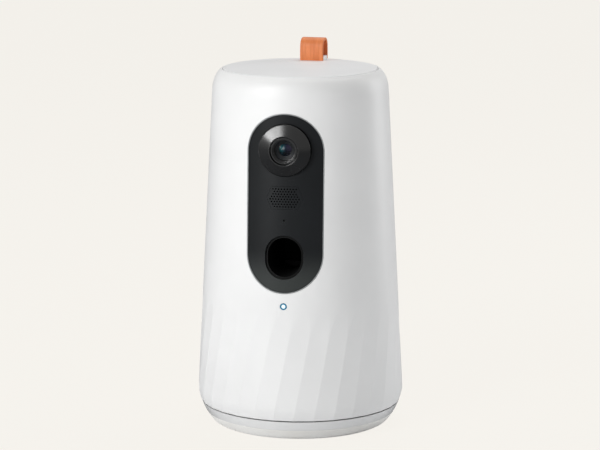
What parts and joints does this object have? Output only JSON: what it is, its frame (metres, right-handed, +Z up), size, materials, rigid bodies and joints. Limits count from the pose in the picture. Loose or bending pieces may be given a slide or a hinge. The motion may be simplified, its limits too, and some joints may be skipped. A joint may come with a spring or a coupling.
{
  "type": "treat tossing pet camera",
  "caption": "Round white camera that pans on its base, watches a pet and throws treats from a lift-out bin through an oval outlet in its black face panel.",
  "frame": {"origin": "centre of the foot's flat underside", "axes": "+Z up along the body's axis, -Y out of the face panel, +Y to the power inlet at the back"},
  "size_m": [0.1388, 0.1388, 0.256],
  "materials": {
    "shell_white": "fine satin moulded ABS, cool white",
    "base_white": "glossy moulded ABS, white",
    "foot_taupe": "matte soft elastomer, warm taupe",
    "cover_grey": "matte moulded ABS, pale grey",
    "steel": "plain steel",
    "ball_steel": "polished steel balls",
    "acetal": "natural acetal, off white",
    "bronze": "sintered bronze",
    "board_green": "glass fibre board with green solder mask",
    "port_steel": "drawn stainless steel shell",
    "button_grey": "matte moulded ABS, grey",
    "panel_black": "glossy smoked polycarbonate, near black",
    "trim_silver": "pale silver painted ABS",
    "frame_black": "matte moulded ABS, dark grey",
    "grille_black": "matte moulded ABS, black",
    "bezel_black": "glossy black ABS",
    "lens_glass": "coated optical glass",
    "led_clear": "clear epoxy",
    "cone_paper": "treated paper",
    "pipe_clear": "frosted clear polycarbonate",
    "chassis_grey": "matte moulded ABS, light grey",
    "motor_steel": "zinc plated steel can",
    "spring_steel": "spring steel wire",
    "foil_copper": "copper foil on film",
    "paddle_dark": "matte moulded nylon, dark grey",
    "bin_white": "food grade polypropylene, white",
    "wheel_orange": "food grade polypropylene, orange",
    "fin_silicone": "soft silicone, grey green",
    "lid_white": "fine satin moulded ABS, cool white",
    "liner_grey": "moulded polypropylene, pale grey",
    "seal_silicone": "soft silicone, pale grey",
    "leather_orange": "dyed calf leather, orange"
  },
  "bodies": {
    "base": {"foot_ring": "foot_taupe", "base_shell": "base_white", "base_plate": "cover_grey", "base_screws": "steel", "turntable_post": "acetal", "sun_gear": "acetal", "bearing_race": "steel", "retaining_ring": "steel", "base_board": "board_green", "power_inlet": "port_steel"},
    "reset_button": {"reset_button": "button_grey"},
    "ball_cage": {"bearing_balls": "ball_steel", "bearing_cage": "acetal"},
    "upper_body": {"body_shell": "shell_white", "body_floor": "chassis_grey", "pivot_bush": "bronze", "shell_screws": "steel", "front_panel": "panel_black", "panel_trim": "trim_silver", "panel_frame": "frame_black", "speaker_grille": "grille_black", "lens_bezel": "bezel_black", "lens_barrel": "bezel_black", "lens_glass": "lens_glass", "camera_module": "frame_black", "camera_board": "board_green", "ir_leds": "led_clear", "speaker": "frame_black", "speaker_cone": "cone_paper", "microphone": "port_steel", "light_pipe": "pipe_clear", "status_board": "board_green", "deck": "chassis_grey", "chassis_posts": "chassis_grey", "throw_housing": "frame_black", "throw_spring": "spring_steel", "throw_motor": "motor_steel", "dispense_motor": "motor_steel", "pan_motor": "motor_steel", "board_bracket": "chassis_grey", "main_board": "board_green", "shield_can": "port_steel", "antenna": "foil_copper"},
    "pan_drive": {"pan_pinion": "acetal"},
    "dose_drive": {"drive_dog": "acetal"},
    "throw_drive": {"throw_pinion": "acetal"},
    "paddle": {"throw_paddle": "paddle_dark", "throw_shaft": "steel", "throw_gear": "acetal"},
    "bin": {"treat_hopper": "bin_white", "wheel_cup": "bin_white", "treat_guard": "bin_white"},
    "wheel": {"dispensing_rotor": "wheel_orange", "agitator": "fin_silicone"},
    "lid": {"lid_cap": "lid_white", "lid_liner": "liner_grey", "lid_seal": "seal_silicone", "lid_screws": "steel", "pull_tab": "leather_orange", "tab_anchor": "lid_white"}
  },
  "joints": [
    {"name": "pan", "type": "hinge", "parent": "base", "child": "upper_body", "pos_m": [0, 0, 0.0186], "axis": [0, 0, 1], "range_deg": [-135, 135]},
    {"name": "ball_cage_roll", "type": "hinge", "parent": "base", "child": "ball_cage", "pos_m": [0, 0, 0.0186], "axis": [0, 0, 1], "range_deg": [-70, 70]},
    {"name": "pan_pinion_spin", "type": "hinge", "parent": "upper_body", "child": "pan_drive", "pos_m": [0, 0.036, 0.0186], "axis": [0, 0, 1], "range_deg": [-680, 680]},
    {"name": "bin_lift", "type": "slide", "parent": "upper_body", "child": "bin", "axis": [0, 0, 1], "range_m": [0, 0.1]},
    {"name": "lid_lift", "type": "slide", "parent": "bin", "child": "lid", "axis": [0, 0, 1], "range_m": [0, 0.06]},
    {"name": "wheel_spin", "type": "hinge", "parent": "bin", "child": "wheel", "pos_m": [0, 0.014, 0.1429], "axis": [0, 0, 1], "continuous": true},
    {"name": "dose_spin", "type": "hinge", "parent": "upper_body", "child": "dose_drive", "pos_m": [0, 0.014, 0.1378], "axis": [0, 0, 1], "continuous": true},
    {"name": "throw", "type": "hinge", "parent": "upper_body", "child": "paddle", "pos_m": [0, -0.02, 0.1051], "axis": [1, 0, 0], "range_deg": [0, 65], "stiffness_Nm_per_rad": 0.02, "deforming": ["throw_spring"]},
    {"name": "throw_pinion_spin", "type": "hinge", "parent": "upper_body", "child": "throw_drive", "pos_m": [0, -0.00528, 0.0966], "axis": [1, 0, 0], "range_deg": [-160, 5]},
    {"name": "reset_press", "type": "slide", "parent": "base", "child": "reset_button", "axis": [-0.2588, -0.9659, 0], "range_m": [0, 0.0008], "stiffness_N_per_m": 300}
  ],
  "couplings": [
    {"joint": "ball_cage_roll", "follows": "pan", "ratio": 0.5},
    {"joint": "pan_pinion_spin", "follows": "pan", "ratio": 5},
    {"joint": "dose_spin", "follows": "wheel_spin", "ratio": 1},
    {"joint": "throw_pinion_spin", "follows": "throw", "ratio": -2.4}
  ]
}
